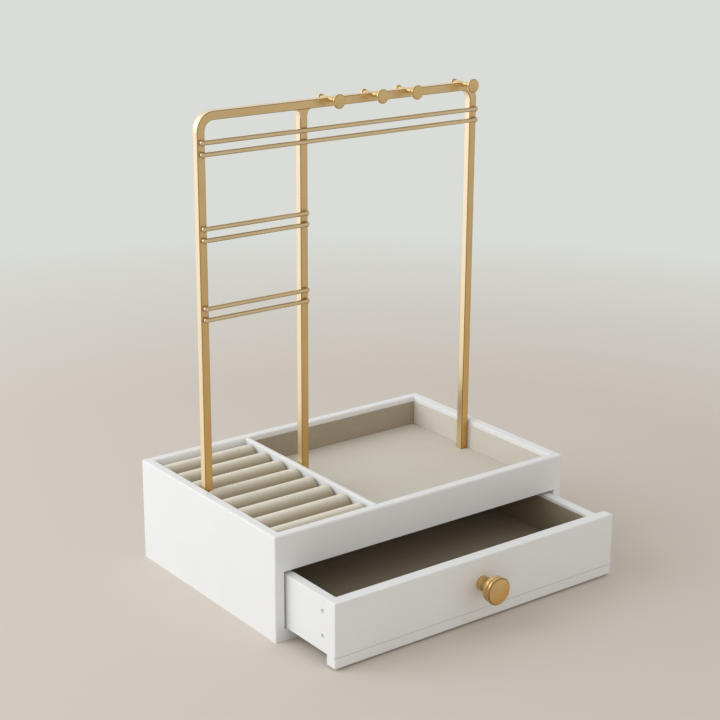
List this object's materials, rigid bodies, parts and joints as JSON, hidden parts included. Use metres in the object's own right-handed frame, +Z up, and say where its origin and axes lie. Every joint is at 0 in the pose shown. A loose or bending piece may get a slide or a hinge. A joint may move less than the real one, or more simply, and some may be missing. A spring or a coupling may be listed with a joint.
{
  "type": "jewellery stand with drawer",
  "caption": "White jewellery box with padded ring rolls, an open lined tray and a pull-out lined drawer, topped by a square-bar brass frame with paired hanging rods and turned pegs.",
  "frame": {"origin": "middle of the case's underside, on the surface it stands on", "axes": "+X to the right seen from the drawer's side, +Y to the back, +Z up along the posts"},
  "size_m": [0.28, 0.27, 0.3767],
  "materials": {
    "white_paint": "satin white paint over board",
    "raw_board": "unpainted thin board, covered by lining above",
    "ring_velvet": "light greige velvet, ribbed by the rolls",
    "tray_velvet": "greige velvet lining",
    "drawer_velvet": "dark taupe velvet lining",
    "satin_brass": "satin gold",
    "knob_brass": "satin gold, turned",
    "screw_steel": "zinc plated",
    "pin_wood": "flush pins, thinly painted"
  },
  "bodies": {
    "case": {"case_back": "white_paint", "case_bottom": "white_paint", "case_front_rail": "white_paint", "case_side_left": "white_paint", "case_side_right": "white_paint", "frame_hoop": "satin_brass", "middle_post": "satin_brass", "peg_1": "satin_brass", "peg_2": "satin_brass", "peg_3": "satin_brass", "peg_4": "satin_brass", "post_screw_left": "screw_steel", "post_screw_middle": "screw_steel", "post_screw_right": "screw_steel", "ring_base_pad": "ring_velvet", "ring_roll_1": "ring_velvet", "ring_roll_2": "ring_velvet", "ring_roll_3": "ring_velvet", "ring_roll_4": "ring_velvet", "ring_roll_5": "ring_velvet", "ring_roll_6": "ring_velvet", "ring_roll_7": "ring_velvet", "ring_roll_8": "ring_velvet", "rod_lower_1": "satin_brass", "rod_lower_2": "satin_brass", "rod_middle_1": "satin_brass", "rod_middle_2": "satin_brass", "rod_upper_1": "satin_brass", "rod_upper_2": "satin_brass", "tray_divider": "white_paint", "tray_floor_board": "raw_board", "tray_floor_lining": "tray_velvet", "tray_lining_back": "tray_velvet", "tray_lining_divider": "tray_velvet", "tray_lining_front": "tray_velvet", "tray_lining_right": "tray_velvet"},
    "drawer": {"drawer_back": "white_paint", "drawer_bottom": "raw_board", "drawer_face": "white_paint", "drawer_floor_lining": "drawer_velvet", "drawer_inner_front": "white_paint", "drawer_lining_back": "drawer_velvet", "drawer_lining_front": "drawer_velvet", "drawer_lining_left": "drawer_velvet", "drawer_lining_right": "drawer_velvet", "drawer_pin_left_high": "pin_wood", "drawer_pin_left_low": "pin_wood", "drawer_pin_right_high": "pin_wood", "drawer_pin_right_low": "pin_wood", "drawer_side_left": "white_paint", "drawer_side_right": "white_paint", "face_screw_left": "screw_steel", "face_screw_right": "screw_steel", "knob": "knob_brass", "knob_screw": "screw_steel"}
  },
  "joints": [
    {"name": "drawer_slide", "type": "slide", "parent": "case", "child": "drawer", "axis": [0, -1, 0], "range_m": [-0.0497, 0.07]}
  ]
}
